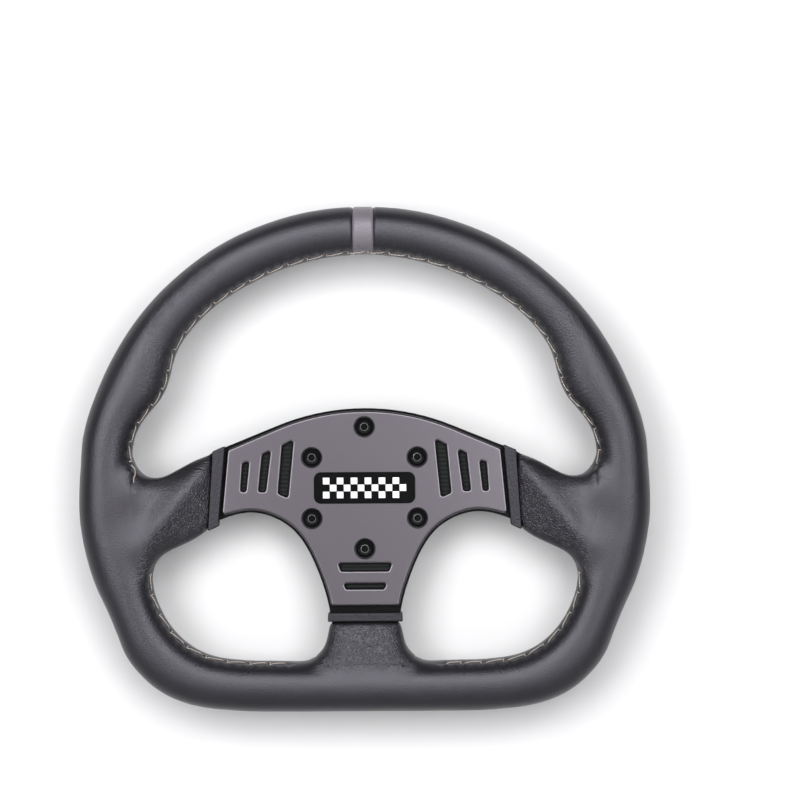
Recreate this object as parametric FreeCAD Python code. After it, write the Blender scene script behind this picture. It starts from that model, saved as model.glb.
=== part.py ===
"""Flat-bottomed racing steering wheel: leather over foam on a tube hoop, bolted three-spoke hub.

Frame: X to the driver's right, Z up towards the centre marker, front face towards -Y.
Origin: centre of the six-bolt circle, on the back face of the spoke frame. Millimetres.
"""
import FreeCAD
import Part
import math
import os

V = FreeCAD.Vector

# ---- Depths along Y: the frame's back face is 0 and the front of the wheel is negative ----
FRAME_THICK = 5.0
PLATE_THICK = 3.5
Y_FRAME = -FRAME_THICK
Y_PLATE = Y_FRAME - PLATE_THICK
Y_RIM = Y_FRAME / 2
RIM_DEPTH = 31.0
RIM_ROUND = 13.5
LEATHER = 1.3

# ---- Clearance: a distance past everything, for cutting shapes ----
BEYOND = 40.0
FAR = 200.0

# ---- Bolt circle and screws: six M5 flanged button heads on the usual 70 mm circle ----
BOLT_CIRCLE = 70.0
BOLT_COUNT = 6
BOLT_HOLE = 5.5
HUB_BORE = 32.0
SCREW_D = 5.0
THREAD_D = 4.48
SCREW_LENGTH = 16.0
TIP_ROUND = 0.5
HEAD_D = 9.5
HEAD_HIGH = 2.75
HEAD_DOME_R = 6.4
FLANGE_D = 11.0
FLANGE_THICK = 0.5
HEX = 3.0
HEX_DEEP = 1.6
SINK_D = 11.3
SINK_DEEP = 2.3
SINK_LIP = 0.5

# ---- Hub seat: a flat land on the frame's back, with a turned relief groove round it ----
HUB_SEAT_D = 84.0
SEAT_GROOVE_WIDE = 1.5
SEAT_GROOVE_DEEP = 0.5

# ---- Hoop: drawn steel tube, with a spoke tab let into a slot at each joint ----
HOOP_R = 148.5
HOOP_FLAT_Z = -114.0
HOOP_CORNER_R = 48.0
TUBE_D = 14.0
TUBE_WALL = 2.0
RIVET_D = 4.0
RIVET_HEAD_D = 7.0
RIVET_HEAD_SET = 1.0
RIVET_LONG = 17.2
RIVET_SPACE = 18.0
RIVET_Z = -20.0

# ---- Right halves of the outlines, X then Z, from the top centre down ----
RIM_OUTSIDE = [(0, 161.8), (28.1, 159.6), (55.5, 152.4), (81.3, 140.8), (104.5, 124.5),
               (124.9, 104.8), (141.4, 81.6), (153.9, 56.0), (161.7, 29.5), (164.3, 0),
               (162.7, -28.7), (155.0, -56.4), (143.3, -82.7), (130.5, -106.2),
               (112.0, -120.2), (88.8, -126.8), (60.0, -128.6), (30.0, -128.8), (0, -128.8)]
UPPER_OPENING = [(0, 134.2), (19.0, 132.7), (41.5, 127.5), (66.9, 116.6), (86.6, 103.8),
                 (100.5, 90.0), (107.8, 78.5), (111.2, 66.6), (115.0, 56.0), (121.9, 45.9),
                 (129.1, 36.2), (133.2, 27.0), (133.6, 18.5), (130.6, 11.0), (124.5, 6.5),
                 (116.5, 6.3), (108.0, 10.6), (99.0, 15.9), (86.0, 21.4)]
LOWER_OPENING = [(88.0, -22.5), (94.5, -27.7), (102.0, -31.6), (111.0, -36.0), (118.5, -41.2),
                 (122.5, -48.5), (122.0, -57.5), (118.5, -67.5), (112.1, -78.8),
                 (101.8, -89.3), (88.4, -96.2), (72.3, -98.9), (52.0, -99.5), (40.0, -98.9),
                 (31.2, -96.0), (25.5, -90.0), (23.0, -83.0), (21.8, -75.0)]
CROWN = (50.0, 35.9, 45.7)
SPOKE_LOWER = [(87.0, -19.6), (77.4, -16.0), (65.0, -13.9), (52.0, -17.0), (41.0, -24.2),
               (33.7, -33.7), (27.3, -47.2), (22.6, -61.0), (20.0, -73.0)]
PLATE_LOWER = [(82.4, -15.7), (76.8, -14.3), (65.0, -12.5), (51.3, -15.8), (39.9, -23.3),
               (32.5, -33.0), (26.1, -46.7), (21.3, -60.5), (19.7, -67.9)]
PLATE_SHOULDER = (78.75, 22.2)
PLATE_EDGE = 1.4
PLATE_CROWN_EDGE = 0.4
PLATE_CORNER = 2.0
FRAME_SHOULDER = (87.0, 20.9)
FRAME_TAB = [(124.0, -4.5), (149.5, -6.0), (146.0, -34.0), (124.0, -31.5)]
FRAME_FOOT = [(15.0, -100.0), (15.0, -117.0)]

# ---- Corners inside the bare hub region, where the openings' outlines are closed ----
UPPER_CLOSE = (60.0, 0.0)
LOWER_CLOSE = (40.0, -35.0)
HUB_CORNER = (60.0, -60.0)

# ---- Where the leather stops: the hub side is bare ----
PAD_TOP = (87.0, 24.0)
PAD_BOTTOM = (90.4, -30.0)
PAD_FOOT = (24.0, -77.0)
PAD_FRONT = -11.2
PAD_BACK = 5.5
PAD_RUN = 36.0
PAD_LOW_Z = -45.0
FOOT_RUN = 24.0
FOOT_HALF_WIDE = 38.0

# ---- Leather seams ----
MARKER_WIDTH = 11.8
MARKER_FROM_Z = 100.0
SIDE_SEAM = [(80, 40), (131.2, 15), (132.8, 3), (132.8, -19), (119.5, -48), (80, -60)]
FOOT_SEAM = [(33, -60), (33, -95.2), (21.8, -101.2)]
THREAD_THICK = 0.9
THREAD_WIDE = 3.6
THREAD_END_Z = 12.0
THREAD_LOW = (40.0, 130.0, -110.0, -46.0)
SPOKE_TOP = (125.0, 30.0)

# ---- Collars round the spokes, X then Z ----
SIDE_COLLAR = [(79.9, 24.6), (87.2, 21.4), (90.2, -24.6), (84.0, -21.6)]
FOOT_COLLAR = [(-21.3, -71.7), (21.3, -71.7), (21.6, -76.8), (-21.6, -76.8)]
COLLAR_FRONT = -9.6
COLLAR_BACK = 3.6
COLLAR_ROUND = 0.8

# ---- Plate slots (right side and bottom), their backing sheets and the badge ----
SLOTS = [[(41.2, 27.2), (46.8, 24.3), (49.2, -2.8), (44.4, -5.0)],
         [(54.3, 21.4), (58.3, 19.2), (60.5, -1.6), (57.2, -1.6)],
         [(66.7, 15.2), (69.7, 14.1), (70.8, -1.5), (68.5, -1.5)]]
FOOT_SLOTS = [[(-14.9, -43.6), (14.9, -43.6), (13.4, -47.5), (-13.4, -47.5)],
              [(-11.7, -55.2), (11.7, -55.2), (10.6, -57.8), (-10.6, -57.8)]]
SLOT_ROUND = 1.4
SLOT_CORNER = 0.7
SHEET_SIDE = [(38.6, 31.0), (74.5, 16.5), (76.0, -7.5), (41.5, -9.0)]
SHEET_FOOT = [(-18.0, -41.5), (18.0, -41.5), (14.5, -61.0), (-14.5, -61.0)]
SHEET_THICK = 0.5
SHEET_POCKET = 0.6
BADGE_WIDE = 58.0
BADGE_HIGH = 18.0
BADGE_CORNER = 4.0
BADGE_SINK = 0.8
BADGE_GAP = 0.2
BADGE_THICK = 1.2
TILE = 4.0
TILE_GAP = 0.25
TILE_COLUMNS = 12
TILE_ROWS = 3
TILE_THICK = 0.5


def plan(point, y=0.0):
    return V(point[0], y, point[1])


def flipped(points):
    """The same outline on the left side, walked the other way."""
    return [(-x, z) for x, z in reversed(points)]


def spline(points, closed=False):
    curve = Part.BSplineCurve()
    curve.interpolate([plan(p) for p in points], PeriodicFlag=closed)
    return curve.toShape()


def line(a, b):
    return Part.makeLine(plan(a), plan(b))


def arc(a, middle, b):
    return Part.Arc(plan(a), plan(middle), plan(b)).toShape()


def polygon(points):
    return Part.Face(Part.makePolygon([plan(p) for p in points + points[:1]]))


def face(edges):
    return Part.Face(Part.Wire(Part.__sortEdges__(edges)))


def slab(flat, back, front):
    """The plan face as a solid between two depths."""
    solid = flat.copy()
    solid.translate(V(0, back, 0))
    return solid.extrude(V(0, front - back, 0))


def rod(x, z, radius, back, front):
    return Part.makeCylinder(radius, back - front, V(x, front, z), V(0, 1, 0))


def mirror(shape):
    return shape.mirror(V(0, 0, 0), V(1, 0, 0))


def moved(points, distance, closed=False):
    """Outline points moved square to the curve, to its left as it is walked."""
    out = []
    for i, (x, z) in enumerate(points):
        before = points[i - 1] if i or closed else points[i]
        after = points[(i + 1) % len(points)] if i + 1 < len(points) or closed else points[i]
        dx, dz = after[0] - before[0], after[1] - before[1]
        size = math.hypot(dx, dz)
        out.append((x - distance * dz / size, z + distance * dx / size))
    return out


def round_edges(solid, radius, wanted):
    return solid.makeFillet(radius, [e for e in solid.Edges if wanted(e)])


def lies_at(edge, y):
    return abs(edge.BoundBox.YMin - y) < 1e-4 and abs(edge.BoundBox.YMax - y) < 1e-4


def runs_along_y(edge):
    return edge.BoundBox.XLength < 1e-4 and edge.BoundBox.ZLength < 1e-4


# ---- Plan shapes of the covered body ----
def outside_face(inset):
    half = RIM_OUTSIDE
    points = half + flipped(half)[1:-1]
    return face([spline(moved(points, -inset, closed=True), closed=True)])


def upper_face(inset):
    """The opening above the hub; its lower side lies inside the bare hub region."""
    points = flipped(UPPER_OPENING)[:-1] + UPPER_OPENING
    edge = moved(points, inset)
    right, left = UPPER_CLOSE, (-UPPER_CLOSE[0], UPPER_CLOSE[1])
    return face([spline(edge), line(edge[-1], right), line(right, left), line(left, edge[0])])


def lower_face(inset):
    edge = moved(LOWER_OPENING, inset)
    return face([spline(edge), line(edge[-1], LOWER_CLOSE), line(LOWER_CLOSE, edge[0])])


def hub_face():
    right = [PAD_TOP, PAD_BOTTOM, HUB_CORNER, PAD_FOOT]
    return polygon(right + flipped(right))


def wedge(points, along_z, low, high):
    """A prism whose outline is drawn in depth against X, or against Z for the foot."""
    if along_z:
        corners = [V(low, y, z) for z, y in points]
        way = V(high - low, 0, 0)
    else:
        corners = [V(x, y, low) for x, y in points]
        way = V(0, 0, high - low)
    return Part.Face(Part.makePolygon(corners + corners[:1])).extrude(way)


def pad_cuts(inset):
    """What thins the spokes' padding from the full rim depth down to the collars."""
    full = RIM_DEPTH / 2
    cuts = []
    for thin, deep, far in ((PAD_FRONT, Y_RIM - full, -BEYOND),
                            (PAD_BACK, Y_RIM + full, BEYOND)):
        side = math.copysign(inset, far)
        x0, x1 = PAD_TOP[0], PAD_TOP[0] + PAD_RUN
        outline = [(x0 - BEYOND, thin - side), (x0, thin - side), (x1, deep - side),
                   (x1, far), (x0 - BEYOND, far)]
        right = wedge(outline, False, PAD_LOW_Z, PAD_TOP[1])
        z0, z1 = PAD_FOOT[1], PAD_FOOT[1] - FOOT_RUN
        outline = [(z0 + BEYOND, thin - side), (z0, thin - side), (z1, deep - side),
                   (z1, far), (z0 + BEYOND, far)]
        cuts += [right, mirror(right), wedge(outline, True, -FOOT_HALF_WIDE, FOOT_HALF_WIDE)]
    return cuts


def covered_body(inset):
    """Rim and padded spokes, all surfaces moved in by the inset."""
    flat = outside_face(inset)
    lower = lower_face(inset)
    flat = flat.cut(upper_face(inset).multiFuse([lower, mirror(lower), hub_face()]))
    deep = RIM_DEPTH / 2 - inset
    back, front = Y_RIM + deep, Y_RIM - deep
    body = slab(flat.Faces[0], back, front)
    for on_this_curve in (on_outside, on_upper, on_lower_right, on_lower_left):
        body = round_edges(body, RIM_ROUND - inset, lambda e: on_this_curve(e.BoundBox)
                           and (lies_at(e, back) or lies_at(e, front)))
    return body.cut(pad_cuts(inset))


def on_outside(box):
    return box.XLength > 300 and box.ZLength > 280


def on_upper(box):
    return box.XLength > 200 and box.ZMin > 0


def on_lower_right(box):
    return box.XMin > 0 and box.XLength > 50


def on_lower_left(box):
    return box.XMax < 0 and box.XLength > 50


# ---- Metal inside the rim ----
def hoop_path():
    """Circle, two tangent corners and a straight bottom."""
    corner_z = HOOP_FLAT_Z + HOOP_CORNER_R
    corner_x = math.sqrt((HOOP_R - HOOP_CORNER_R) ** 2 - corner_z ** 2)
    reach = HOOP_R / (HOOP_R - HOOP_CORNER_R)
    join = (corner_x * reach, corner_z * reach)
    turn = (math.atan2(corner_z, corner_x) - math.pi / 2) / 2
    middle = (corner_x + HOOP_CORNER_R * math.cos(turn),
              corner_z + HOOP_CORNER_R * math.sin(turn))
    foot = (corner_x, HOOP_FLAT_Z)
    right = arc((0, HOOP_R), (HOOP_R, 0), join)
    corner = arc(join, middle, foot)
    edges = [right, corner, line(foot, (-foot[0], foot[1])), mirror(corner), mirror(right)]
    path = Part.Wire(Part.__sortEdges__(edges))
    path.translate(V(0, Y_RIM, 0))
    return path


def tube(diameter):
    ring = Part.makeCircle(diameter / 2, V(0, Y_RIM, HOOP_R), V(1, 0, 0))
    return hoop_path().makePipeShell([Part.Wire(ring)], True, True)


def rivet_places():
    """Two rivets through each spoke tab, on the hoop's centre line."""
    half = RIVET_SPACE / 2
    side = [(math.sqrt(HOOP_R ** 2 - z ** 2), z) for z in (RIVET_Z + half, RIVET_Z - half)]
    return {"right": side, "left": [(-x, z) for x, z in side],
            "bottom": [(-half, HOOP_FLAT_Z), (half, HOOP_FLAT_Z)]}


def rivet_shank(place):
    half = RIVET_LONG / 2
    return rod(*place, RIVET_D / 2, Y_RIM + half, Y_RIM - half)


def rivet(place):
    half = RIVET_LONG / 2
    low = TUBE_D / 2 - RIVET_HEAD_SET
    heads = [rod(*place, RIVET_HEAD_D / 2, Y_RIM + half, Y_RIM + low),
             rod(*place, RIVET_HEAD_D / 2, Y_RIM - low, Y_RIM - half)]
    return rivet_shank(place).multiFuse(heads)


def frame_face():
    """Hub, three arms and the tabs that reach into the hoop's slots."""
    crown_x, crown_z, top = CROWN
    arm = [(crown_x, crown_z), FRAME_SHOULDER] + FRAME_TAB + [SPOKE_LOWER[0]]
    foot = [SPOKE_LOWER[-1]] + FRAME_FOOT
    right = [line(a, b) for path in (arm, foot) for a, b in zip(path, path[1:])]
    right.append(spline(SPOKE_LOWER))
    end_x, end_z = FRAME_FOOT[-1]
    return face([arc((-crown_x, crown_z), (0, top), (crown_x, crown_z)),
                 line((end_x, end_z), (-end_x, end_z))] + right + [mirror(e) for e in right])


def bolt_places():
    """First bolt at the top, the rest evenly round."""
    step = 2 * math.pi / BOLT_COUNT
    return [(BOLT_CIRCLE / 2 * math.sin(i * step), BOLT_CIRCLE / 2 * math.cos(i * step))
            for i in range(BOLT_COUNT)]


def through(x, z, diameter, back, front):
    """A cutting rod that runs past both faces."""
    return rod(x, z, diameter / 2, back + 1, front - 1)


def spoke_frame():
    frame = slab(frame_face(), 0, Y_FRAME)
    cuts = [through(x, z, BOLT_HOLE, 0, Y_FRAME) for x, z in bolt_places()]
    cuts.append(through(0, 0, HUB_BORE, 0, Y_FRAME))
    cuts += [rivet_shank(p) for group in rivet_places().values() for p in group]
    groove = rod(0, 0, HUB_SEAT_D / 2 + SEAT_GROOVE_WIDE, BEYOND, -SEAT_GROOVE_DEEP)
    cuts.append(groove.cut(rod(0, 0, HUB_SEAT_D / 2, BEYOND, -BEYOND)))
    return frame.cut(cuts)


# ---- Front plate and what sits in it ----
def plate_outline():
    crown_x, crown_z, top = CROWN
    a = (crown_x - PLATE_CROWN_EDGE, crown_z - PLATE_EDGE)
    right = [line(a, PLATE_SHOULDER), line(PLATE_SHOULDER, PLATE_LOWER[0]),
             spline(PLATE_LOWER)]
    foot = PLATE_LOWER[-1]
    return face([arc((-a[0], a[1]), (0, top - PLATE_EDGE), a), line(foot, (-foot[0], foot[1]))]
                + right + [mirror(e) for e in right])


def badge_block(grow, back, front):
    """The badge's rounded rectangle, or its seat when grown."""
    wide, high = BADGE_WIDE / 2 + grow, BADGE_HIGH / 2 + grow
    block = Part.makeBox(2 * wide, back - front, 2 * high, V(-wide, front, -high))
    return round_edges(block, BADGE_CORNER + grow, runs_along_y)


def sheet_outlines():
    right = polygon(SHEET_SIDE)
    return {"right": right, "left": mirror(right), "bottom": polygon(SHEET_FOOT)}


def centre_plate():
    plate = round_edges(slab(plate_outline(), Y_FRAME, Y_PLATE), PLATE_CORNER, sharp_corner)
    slots = [polygon(s) for s in SLOTS]
    slots += [mirror(s) for s in slots] + [polygon(s) for s in FOOT_SLOTS]
    plate = plate.cut([round_edges(slab(s, Y_FRAME + 1, Y_PLATE - 1), SLOT_CORNER, runs_along_y)
                       for s in slots])
    plate = round_edges(plate, SLOT_ROUND, lambda e: lies_at(e, Y_PLATE))
    sink_floor = Y_PLATE + SINK_DEEP
    cuts = [badge_block(BADGE_GAP, Y_PLATE + BADGE_SINK, Y_PLATE - 1)]
    for x, z in bolt_places():
        cuts.append(rod(x, z, SINK_D / 2, sink_floor, Y_PLATE - 1))
        cuts.append(Part.makeCone(SINK_D / 2 + SINK_LIP, SINK_D / 2, SINK_LIP,
                                  V(x, Y_PLATE, z), V(0, 1, 0)))
        cuts.append(through(x, z, BOLT_HOLE, Y_FRAME, Y_PLATE))
    for outline in sheet_outlines().values():
        cuts.append(slab(outline, Y_FRAME + 1, Y_FRAME - SHEET_POCKET))
    return plate.cut(cuts)


def sharp_corner(edge):
    """The four corners where the plate's straight sides meet its lower curves."""
    x = abs(edge.BoundBox.Center.x)
    corners = (PLATE_SHOULDER[0], PLATE_LOWER[0][0], PLATE_LOWER[-1][0])
    return runs_along_y(edge) and any(abs(x - c) < 0.01 for c in corners)


def badge_tiles():
    """A plain chequer: every other square of the grid."""
    front = Y_PLATE + BADGE_SINK - BADGE_THICK
    tiles = []
    for column in range(TILE_COLUMNS):
        for row in range(TILE_ROWS):
            if (column + row) % 2:
                continue
            x = (column - TILE_COLUMNS / 2) * TILE + TILE_GAP / 2
            z = (row - TILE_ROWS / 2) * TILE + TILE_GAP / 2
            size = TILE - TILE_GAP
            tiles.append(Part.makeBox(size, TILE_THICK, size, V(x, front - TILE_THICK, z)))
    return Part.makeCompound(tiles)


def cap_screw(x, z):
    """Flanged button-head screw; its thread, drawn at the pitch diameter, is a free stud."""
    seat = Y_PLATE + SINK_DEEP
    tip = seat + SCREW_LENGTH
    top = seat - HEAD_HIGH
    thread = round_edges(rod(x, z, THREAD_D / 2, tip, 0), TIP_ROUND, lambda e: lies_at(e, tip))
    shank = rod(x, z, SCREW_D / 2, 0, seat)
    head = rod(x, z, HEAD_D / 2, seat, top)
    flange = rod(x, z, FLANGE_D / 2, seat, seat - FLANGE_THICK)
    dome = Part.makeSphere(HEAD_DOME_R, V(x, top + HEAD_DOME_R, z))
    across = HEX / math.sqrt(3)
    corners = [V(x + across * math.cos(k * math.pi / 3), top,
                 z + across * math.sin(k * math.pi / 3)) for k in range(7)]
    socket = Part.Face(Part.makePolygon(corners)).extrude(V(0, HEX_DEEP, 0))
    return head.common(dome).multiFuse([flange, shank, thread]).cut(socket).removeSplitter()


# ---- Leather, thread and collars ----
def block(low_x, high_x, low_z, high_z):
    """A box in plan that runs through the whole depth."""
    return Part.makeBox(high_x - low_x, 2 * BEYOND, high_z - low_z, V(low_x, -BEYOND, low_z))


def leather_pieces():
    skin = covered_body(0).cut(covered_body(LEATHER))
    side = slab(polygon(SIDE_SEAM), BEYOND, -BEYOND)
    foot = slab(polygon(FOOT_SEAM + flipped(FOOT_SEAM)), BEYOND, -BEYOND)
    marker = block(-MARKER_WIDTH / 2, MARKER_WIDTH / 2, MARKER_FROM_Z, FAR)
    rim = skin.cut([side, mirror(side), foot, marker])
    right = block(0, FAR, -FAR, FAR)
    return {"leather_centre_marker": skin.common(marker),
            "leather_spoke_right": skin.common(side),
            "leather_spoke_left": skin.common(mirror(side)),
            "leather_spoke_bottom": skin.common(foot),
            "leather_rim_right": rim.common(right),
            "leather_rim_left": rim.common(mirror(right))}


def thread_band(outline, thinner, keep):
    band = slab(outline.cut(thinner), Y_RIM + THREAD_WIDE / 2, Y_RIM - THREAD_WIDE / 2)
    return band.common(keep)


def threads():
    upper = block(MARKER_WIDTH / 2, FAR, THREAD_END_Z, FAR)
    upper = upper.cut(block(0, SPOKE_TOP[0], 0, SPOKE_TOP[1]))
    right = thread_band(upper_face(0), upper_face(-THREAD_THICK), upper)
    low = thread_band(lower_face(0), lower_face(-THREAD_THICK), block(*THREAD_LOW))
    return {"thread_upper_right": right, "thread_upper_left": mirror(right),
            "thread_lower_right": low, "thread_lower_left": mirror(low)}


def collar(points, frame):
    band = slab(polygon(points), COLLAR_BACK, COLLAR_FRONT)
    return round_edges(band, COLLAR_ROUND, lambda e: True).cut(frame)


def assembly():
    """Every piece of the wheel by its node name."""
    frame = spoke_frame()
    hoop = tube(TUBE_D).cut([tube(TUBE_D - 2 * TUBE_WALL), frame])
    places = rivet_places()
    hoop = hoop.cut([rivet_shank(p) for group in places.values() for p in group])
    parts = {"spoke_frame": frame, "rim_hoop": hoop}
    for side, group in places.items():
        parts["hoop_rivets_" + side] = Part.makeCompound([rivet(p).cut(hoop) for p in group])
    inside = [tube(TUBE_D), frame] + [rivet(p) for group in places.values() for p in group]
    parts["foam_core"] = covered_body(LEATHER).cut(inside)
    parts.update(leather_pieces())
    parts.update(threads())
    parts["collar_right"] = collar(SIDE_COLLAR, frame)
    parts["collar_left"] = mirror(parts["collar_right"])
    parts["collar_bottom"] = collar(FOOT_COLLAR, frame)
    parts["centre_plate"] = centre_plate()
    for side, outline in sheet_outlines().items():
        parts["slot_mesh_" + side] = slab(outline, Y_FRAME, Y_FRAME - SHEET_THICK)
    sunk = Y_PLATE + BADGE_SINK
    parts["badge_base"] = badge_block(0, sunk, sunk - BADGE_THICK)
    parts["badge_tiles"] = badge_tiles()
    for number, (x, z) in enumerate(bolt_places(), 1):
        parts["cap_screw_%d" % number] = cap_screw(x, z)
    return parts


os.makedirs("parts", exist_ok=True)
for name, shape in assembly().items():
    shape.exportStep("parts/%s.step" % name)
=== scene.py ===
"""Flat-bottomed leather racing steering wheel, put together from the hub outwards."""
import bmesh
import bpy
import math
from mathutils import Matrix, Vector
from mathutils.bvhtree import BVHTree
from mathutils.kdtree import KDTree


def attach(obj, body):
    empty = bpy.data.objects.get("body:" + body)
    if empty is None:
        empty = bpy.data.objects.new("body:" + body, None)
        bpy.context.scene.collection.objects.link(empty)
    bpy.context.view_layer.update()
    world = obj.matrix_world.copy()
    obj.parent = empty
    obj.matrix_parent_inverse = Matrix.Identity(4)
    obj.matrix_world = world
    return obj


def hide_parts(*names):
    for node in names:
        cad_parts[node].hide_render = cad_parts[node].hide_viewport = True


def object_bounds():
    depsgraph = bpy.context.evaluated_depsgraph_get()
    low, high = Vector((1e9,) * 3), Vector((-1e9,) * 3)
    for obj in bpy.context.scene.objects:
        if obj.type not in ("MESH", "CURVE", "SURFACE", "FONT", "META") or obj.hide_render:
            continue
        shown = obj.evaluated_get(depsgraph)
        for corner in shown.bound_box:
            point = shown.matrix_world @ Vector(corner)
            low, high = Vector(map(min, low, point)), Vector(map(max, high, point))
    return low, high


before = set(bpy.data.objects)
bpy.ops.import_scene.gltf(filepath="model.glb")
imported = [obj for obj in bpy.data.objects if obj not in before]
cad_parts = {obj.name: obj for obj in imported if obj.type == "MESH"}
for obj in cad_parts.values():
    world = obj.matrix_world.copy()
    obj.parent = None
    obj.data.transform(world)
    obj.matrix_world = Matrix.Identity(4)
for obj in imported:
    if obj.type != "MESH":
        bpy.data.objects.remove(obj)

cad_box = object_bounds()

# ---- Studio -------------------------------------------------------------------------------
# The wheel hangs face on against a matt white panel over a pale floor. Soft lights stand all
# round the camera, as the sides of a product tent do, and leave a dark gap at the camera. The
# panel shows from its front only, so the back of the wheel can be looked at as well.
MM = 0.001
SIGHT_CENTRE = Vector((20.66, 0, 50.26)) * MM
SIGHT_DISTANCE = 1.6
SIGHT_WIDTH = 461.6 * MM
SIGHT_ROLL = -0.35
PANEL_GAP = 16 * MM
PANEL_HALF = 4
FLOOR_DROP = 170 * MM
FLOOR_HALF = 8


def colour(code):
    """An sRGB hex value as the linear colour that the nodes take."""
    parts = [int(code[i:i + 2], 16) / 255 for i in (1, 3, 5)]
    return [c / 12.92 if c <= 0.04045 else ((c + 0.055) / 1.055) ** 2.4 for c in parts] + [1.0]


def material(name):
    made = bpy.data.materials.new(name)
    made.use_nodes = True
    return made


def add_node(made, kind, inputs=None, **settings):
    """Adds one node. An input is a value, or a socket of another node to link from."""
    node = made.node_tree.nodes.new(kind)
    for key, value in settings.items():
        setattr(node, key, value)
    for key, value in (inputs or {}).items():
        if isinstance(value, bpy.types.NodeSocket):
            made.node_tree.links.new(value, node.inputs[key])
        else:
            node.inputs[key].default_value = value
    return node


def finish_shader(made, inputs):
    """Sets the sockets of the material's own shader."""
    shader = made.node_tree.nodes["Principled BSDF"]
    for key, value in inputs.items():
        if isinstance(value, bpy.types.NodeSocket):
            made.node_tree.links.new(value, shader.inputs[key])
        else:
            shader.inputs[key].default_value = value


def flat_panel(name, corners):
    mesh = bmesh.new()
    mesh.faces.new([mesh.verts.new(c) for c in corners])
    data = bpy.data.meshes.new(name)
    mesh.to_mesh(data)
    mesh.free()
    panel = bpy.data.objects.new(name, data)
    bpy.context.collection.objects.link(panel)
    return panel


def matt_white():
    """Emulsion paint: no gloss, and a faint unevenness."""
    made = material("matt_white_paint")
    place = add_node(made, "ShaderNodeTexCoord").outputs["Object"]
    mottle = add_node(made, "ShaderNodeTexNoise", {"Vector": place, "Scale": 3.0})
    tint = add_node(made, "ShaderNodeMixRGB", {0: mottle.outputs[0], 1: colour("#bfbfc0"),
                                               2: colour("#c1c1c2")})
    finish_shader(made, {"Base Color": tint.outputs[0], "Roughness": 1.0,
                         "Specular IOR Level": 0.0})
    return made


def one_sided(made):
    """Seen from behind, the panel isn't there."""
    tree = made.node_tree
    shader = tree.nodes["Principled BSDF"]
    behind = add_node(made, "ShaderNodeNewGeometry").outputs["Backfacing"]
    clear = add_node(made, "ShaderNodeBsdfTransparent")
    both = add_node(made, "ShaderNodeMixShader", {0: behind, 1: shader.outputs[0],
                                                  2: clear.outputs[0]})
    tree.links.new(both.outputs[0], tree.nodes["Material Output"].inputs["Surface"])


low, high = cad_box
wall_y = high[1] + PANEL_GAP
floor_z = low[2] - FLOOR_DROP
backdrop = flat_panel("backdrop", [(-PANEL_HALF, wall_y, floor_z), (PANEL_HALF, wall_y, floor_z),
                                   (PANEL_HALF, wall_y, PANEL_HALF),
                                   (-PANEL_HALF, wall_y, PANEL_HALF)])
backdrop.data.materials.append(matt_white())
one_sided(backdrop.data.materials[0])
backdrop.visible_shadow = False
floor = flat_panel("floor", [(-FLOOR_HALF, -FLOOR_HALF, floor_z),
                             (FLOOR_HALF, -FLOOR_HALF, floor_z),
                             (FLOOR_HALF, FLOOR_HALF, floor_z),
                             (-FLOOR_HALF, FLOOR_HALF, floor_z)])
floor.data.materials.append(matt_white())

camera = bpy.data.objects.new("camera", bpy.data.cameras.new("camera"))
camera.data.sensor_width = 36
camera.data.lens = camera.data.sensor_width * SIGHT_DISTANCE / SIGHT_WIDTH
camera.location = SIGHT_CENTRE - Vector((0, SIGHT_DISTANCE, 0))
camera.rotation_euler = Matrix.Rotation(math.pi / 2, 4, "X").to_euler()
camera.rotation_euler.rotate_axis("Z", math.radians(SIGHT_ROLL))
bpy.context.collection.objects.link(camera)
bpy.context.scene.camera = camera


def softbox(name, place, aim, size, power):
    lamp = bpy.data.lights.new(name, "AREA")
    lamp.shape = "RECTANGLE"
    lamp.size, lamp.size_y = size
    lamp.energy = power
    box = bpy.data.objects.new(name, lamp)
    box.location = place
    box.rotation_euler = (Vector(aim) - Vector(place)).to_track_quat("-Z", "Y").to_euler()
    bpy.context.collection.objects.link(box)


softbox("tent_left", (-1.02, -2.0, 0.3), (0, 0, 0.05), (0.95, 2.0), 60)
softbox("tent_right", (0.77, -2.0, 0.3), (0, 0, 0.05), (0.95, 2.0), 49)
softbox("tent_top", (-0.1, -2.0, 1.05), (0, 0, 0.05), (0.8, 0.8), 20)
softbox("tent_foot", (-0.1, -2.0, -0.6), (0, 0, 0.05), (0.8, 0.5), 6)
softbox("tent_back", (0.6, 2.4, 1.2), (0, 0, 0), (2.4, 2.0), 45)
world = bpy.data.worlds.new("tent")
world.use_nodes = True
world.node_tree.nodes["Background"].inputs[0].default_value = colour("#f2f4f7")
world.node_tree.nodes["Background"].inputs[1].default_value = 0.08
bpy.context.scene.world = world
bpy.context.scene.view_settings.view_transform = "Standard"

# ---- Spoke frame --------------------------------------------------------------------------
# Three spokes laser-cut from 5 mm aluminium plate and powder-coated satin black. It carries
# everything: the hub adapter behind, the front plate before it, and the hoop at its tabs.


def grain_bump(made, scale, depth, detail=2.0, turn=(1, 1, 1)):
    """A noise bump on Object coordinates; scale is bumps per metre, depth is in metres."""
    place = add_node(made, "ShaderNodeTexCoord").outputs["Object"]
    stretch = add_node(made, "ShaderNodeMapping", {"Vector": place, "Scale": turn})
    noise = add_node(made, "ShaderNodeTexNoise", {"Vector": stretch.outputs[0], "Scale": scale,
                                                  "Detail": detail})
    bump = add_node(made, "ShaderNodeBump", {"Height": noise.outputs[0], "Distance": depth,
                                             "Strength": 1.0})
    return noise, bump


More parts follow.
